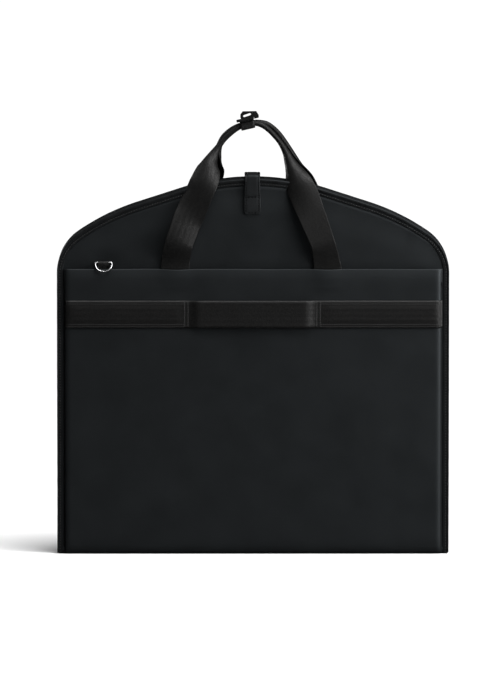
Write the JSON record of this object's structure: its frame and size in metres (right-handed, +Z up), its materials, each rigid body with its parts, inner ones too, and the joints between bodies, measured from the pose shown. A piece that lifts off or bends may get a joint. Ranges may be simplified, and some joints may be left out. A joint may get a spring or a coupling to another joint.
{
  "type": "folding garment bag",
  "caption": "Slim folding garment bag standing folded, with a domed top, two webbing carry handles joined by a clip, a closure tab, a front pocket, a trolley band and a D-ring.",
  "frame": {"origin": "middle of the base, on the surface it stands on", "axes": "+X to the bag's right as seen from the front, +Y to the rear (the front pocket faces -Y), +Z up"},
  "size_m": [0.57, 0.078, 0.6441],
  "materials": {
    "shell_cloth": "smooth matte coated black",
    "binding": "folded and stitched, satin black",
    "trim_leather": "edge stitched, satin black",
    "webbing": "tight twill weave with a soft sheen",
    "trim_webbing": "narrow woven tape",
    "lining": "plain woven, matte",
    "foam": "closed-cell sheet",
    "zip_tape": "knitted tape",
    "zip_coil": "moulded coil",
    "zip_metal": "satin black",
    "elastic": "ribbed elastic",
    "slide_plastic": "moulded",
    "keeper_metal": "satin black",
    "magnet": "plated",
    "ring_metal": "polished nickel wire"
  },
  "bodies": {
    "rear_half": {"rear_outer_panel": "shell_cloth", "rear_gusset": "shell_cloth", "rear_inner_panel": "lining", "rear_foam": "foam", "rear_lining": "lining", "rear_outer_binding": "binding", "rear_inner_piping": "binding", "rear_zip_tapes": "zip_tape", "rear_zip_coils": "zip_coil", "zip_top_stop": "zip_metal", "hanger_port_patch": "trim_leather", "rear_handle_anchors": "webbing", "rear_lap_panel": "shell_cloth", "garment_strap": "elastic", "garment_strap_slide": "slide_plastic", "tab_strap": "trim_leather", "fold_panel": "shell_cloth", "inner_fold_panel": "lining"},
    "front_half": {"front_outer_panel": "shell_cloth", "front_gusset": "shell_cloth", "front_inner_panel": "lining", "front_foam": "foam", "front_lining": "lining", "front_outer_binding": "binding", "front_inner_piping": "binding", "front_zip_tapes": "zip_tape", "front_zip_coils": "zip_coil", "catch_magnet": "magnet", "front_handle_anchors": "webbing", "pocket_panel": "shell_cloth", "pocket_gusset": "shell_cloth", "pocket_facing": "lining", "trolley_webbing": "webbing", "ring_loop": "trim_webbing"},
    "front_handle": {"front_handle_webbing": "webbing", "front_keeper_loop": "trim_webbing", "keeper_saddle": "keeper_metal", "keeper_pin": "keeper_metal"},
    "rear_handle": {"rear_handle_webbing": "webbing", "rear_keeper_loop": "trim_webbing"},
    "keeper": {"keeper_plate": "keeper_metal"},
    "closure_tab": {"closure_tab_face": "trim_leather", "closure_tab_backing": "trim_leather", "tab_magnet": "magnet"},
    "d_ring": {"d_ring": "ring_metal"},
    "zip_slider": {"zip_slider": "zip_metal", "zip_pull": "zip_metal"}
  },
  "joints": [
    {"name": "fold", "type": "hinge", "parent": "rear_half", "child": "front_half", "pos_m": [0, 0, 0], "axis": [1, 0, 0], "range_deg": [0, 180], "deforming": ["fold_panel", "inner_fold_panel"]},
    {"name": "front_handle_swing", "type": "hinge", "parent": "front_half", "child": "front_handle", "pos_m": [0, -0.031, 0.4165], "axis": [1, 0, 0], "range_deg": [0, 160]},
    {"name": "rear_handle_swing", "type": "hinge", "parent": "rear_half", "child": "rear_handle", "pos_m": [0, 0.031, 0.4165], "axis": [-1, 0, 0], "range_deg": [0, 160]},
    {"name": "keeper_latch", "type": "hinge", "parent": "front_handle", "child": "keeper", "pos_m": [-0.00966, -0.0162, 0.63185], "axis": [0.9744, 0, 0.225], "range_deg": [0, 100]},
    {"name": "closure_tab_flip", "type": "hinge", "parent": "rear_half", "child": "closure_tab", "pos_m": [0, -0.0282, 0.5522], "axis": [-1, 0, 0], "range_deg": [0, 150]},
    {"name": "d_ring_swing", "type": "hinge", "parent": "front_half", "child": "d_ring", "pos_m": [-0.217, -0.0285, 0.4255], "axis": [-1, 0, 0], "range_deg": [0, 140]},
    {"name": "zip_slide", "type": "slide", "parent": "rear_half", "child": "zip_slider", "axis": [0, 0, -1], "range_m": [0, 0.4]}
  ]
}
